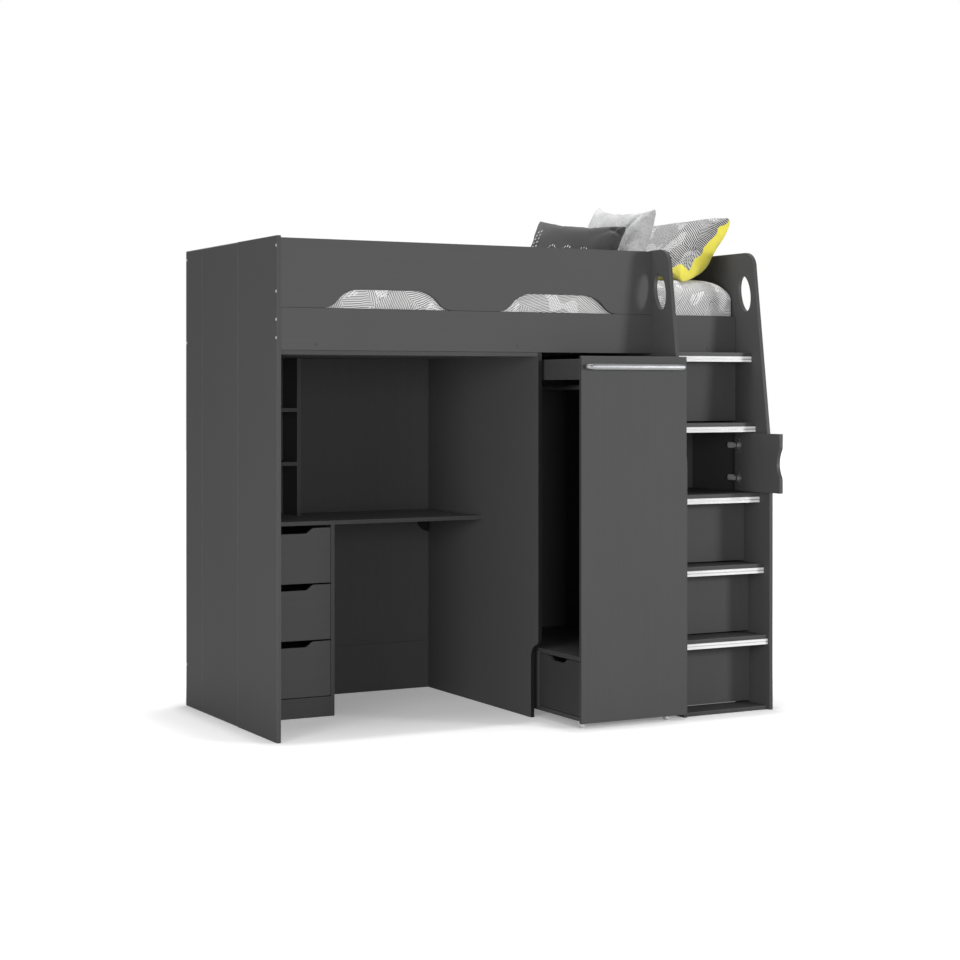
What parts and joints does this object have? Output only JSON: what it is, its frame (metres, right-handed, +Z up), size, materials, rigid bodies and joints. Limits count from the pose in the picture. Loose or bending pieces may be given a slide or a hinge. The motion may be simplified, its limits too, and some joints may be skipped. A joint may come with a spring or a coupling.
{
  "type": "loft bed",
  "caption": "Grey loft bed with arched guard, desk, drawers, bookshelf, pull-out wardrobe on castors, stair treads between panels with a small cupboard, and bedding.",
  "frame": {"origin": "middle of the footprint on the floor, with the wardrobe pulled out and the stair cupboard's door open as at rest", "axes": "+X from the desk end to the stair end, +Y from the front to the wall side, +Z up"},
  "size_m": [1.9624, 1.241, 1.9842],
  "materials": {
    "melamine": "satin melamine",
    "inner_board": "satin melamine",
    "timber": "planed softwood",
    "grey_timber": "painted softwood",
    "steel": "zinc plated",
    "aluminium": "ribbed, satin anodised",
    "handle_metal": "satin",
    "bracket": "matte",
    "caps": "matte",
    "dark_tube": "satin",
    "wheel": "clear grey",
    "mattress_cloth": "woven",
    "hatched_cloth": "woven, printed lines",
    "pillow_cloth": "woven, printed lines",
    "grey_cloth": "brushed",
    "dark_cloth": "woven, stitched"
  },
  "bodies": {
    "bed": {"left_end_front_board": "melamine", "left_end_middle_board": "melamine", "left_end_back_board": "melamine", "right_end_front_board": "melamine", "right_end_middle_board": "melamine", "right_end_back_board": "melamine", "front_side_rail": "melamine", "back_side_rail": "melamine", "front_guard": "melamine", "back_guard": "melamine", "deck_cleats": "grey_timber", "bed_slats": "timber", "under_bed_board": "melamine", "wardrobe_side_panel": "melamine", "stair_partition": "melamine", "left_stair_panel": "melamine", "back_wall_lower": "melamine", "back_wall_upper": "melamine", "desktop": "melamine", "desk_bracket": "bracket", "bookshelf_upright": "melamine", "bookshelf_shelves": "melamine", "drawer_unit_side": "melamine", "drawer_unit_base": "melamine", "fixed_channels": "steel", "stair_treads": "melamine", "tread_nosings": "aluminium", "stair_risers": "melamine", "cupboard_panels": "melamine", "hinge_arms": "steel", "cover_caps": "caps", "mattress": "mattress_cloth", "quilt": "hatched_cloth", "patterned_pillow": "pillow_cloth", "grey_cushion": "grey_cloth", "dark_cushion": "dark_cloth"},
    "wardrobe": {"wardrobe_front": "melamine", "wardrobe_handle": "handle_metal", "wardrobe_top": "melamine", "wardrobe_right_side": "melamine", "wardrobe_back": "melamine", "wardrobe_shelf": "melamine", "base_cabinet": "melamine", "wardrobe_runners": "steel", "hanging_rail": "dark_tube", "castor_forks": "steel"},
    "base_drawer": {"base_drawer_front": "melamine", "base_drawer_box": "inner_board"},
    "cupboard_door": {"cupboard_door": "melamine", "hinge_cups": "steel"},
    "desk_drawer_1": {"desk_drawer_1_front": "melamine", "desk_drawer_1_box": "inner_board"},
    "desk_drawer_2": {"desk_drawer_2_front": "melamine", "desk_drawer_2_box": "inner_board"},
    "desk_drawer_3": {"desk_drawer_3_front": "melamine", "desk_drawer_3_box": "inner_board"},
    "castor_wheel_front_left": {"castor_wheel_front_left": "wheel"},
    "castor_wheel_front_right": {"castor_wheel_front_right": "wheel"},
    "castor_wheel_rear_left": {"castor_wheel_rear_left": "wheel"},
    "castor_wheel_rear_right": {"castor_wheel_rear_right": "wheel"}
  },
  "joints": [
    {"name": "desk_drawer_1_slide", "type": "slide", "parent": "bed", "child": "desk_drawer_1", "axis": [0, -1, 0], "range_m": [0, 0.35]},
    {"name": "desk_drawer_2_slide", "type": "slide", "parent": "bed", "child": "desk_drawer_2", "axis": [0, -1, 0], "range_m": [0, 0.35]},
    {"name": "desk_drawer_3_slide", "type": "slide", "parent": "bed", "child": "desk_drawer_3", "axis": [0, -1, 0], "range_m": [0, 0.35]},
    {"name": "wardrobe_slide", "type": "slide", "parent": "bed", "child": "wardrobe", "axis": [0, -1, 0], "range_m": [-0.26, 0.3]},
    {"name": "base_drawer_slide", "type": "slide", "parent": "wardrobe", "child": "base_drawer", "axis": [-1, 0, 0], "range_m": [0, 0.3]},
    {"name": "cupboard_door_hinge", "type": "hinge", "parent": "bed", "child": "cupboard_door", "pos_m": [0.9565, -0.334, 0.9485], "axis": [0, 0, 1], "range_deg": [-90, 0]},
    {"name": "castor_wheel_front_left_spin", "type": "hinge", "parent": "wardrobe", "child": "castor_wheel_front_left", "pos_m": [0.116, -0.5405, 0.012], "axis": [1, 0, 0], "continuous": true},
    {"name": "castor_wheel_front_right_spin", "type": "hinge", "parent": "wardrobe", "child": "castor_wheel_front_right", "pos_m": [0.484, -0.5405, 0.012], "axis": [1, 0, 0], "continuous": true},
    {"name": "castor_wheel_rear_left_spin", "type": "hinge", "parent": "wardrobe", "child": "castor_wheel_rear_left", "pos_m": [0.116, 0.2815, 0.012], "axis": [1, 0, 0], "continuous": true},
    {"name": "castor_wheel_rear_right_spin", "type": "hinge", "parent": "wardrobe", "child": "castor_wheel_rear_right", "pos_m": [0.484, 0.2815, 0.012], "axis": [1, 0, 0], "continuous": true}
  ],
  "couplings": [
    {"joint": "castor_wheel_front_left_spin", "follows": "wardrobe_slide", "rad_per_m": 83.333},
    {"joint": "castor_wheel_front_right_spin", "follows": "wardrobe_slide", "rad_per_m": 83.333},
    {"joint": "castor_wheel_rear_left_spin", "follows": "wardrobe_slide", "rad_per_m": 83.333},
    {"joint": "castor_wheel_rear_right_spin", "follows": "wardrobe_slide", "rad_per_m": 83.333}
  ]
}
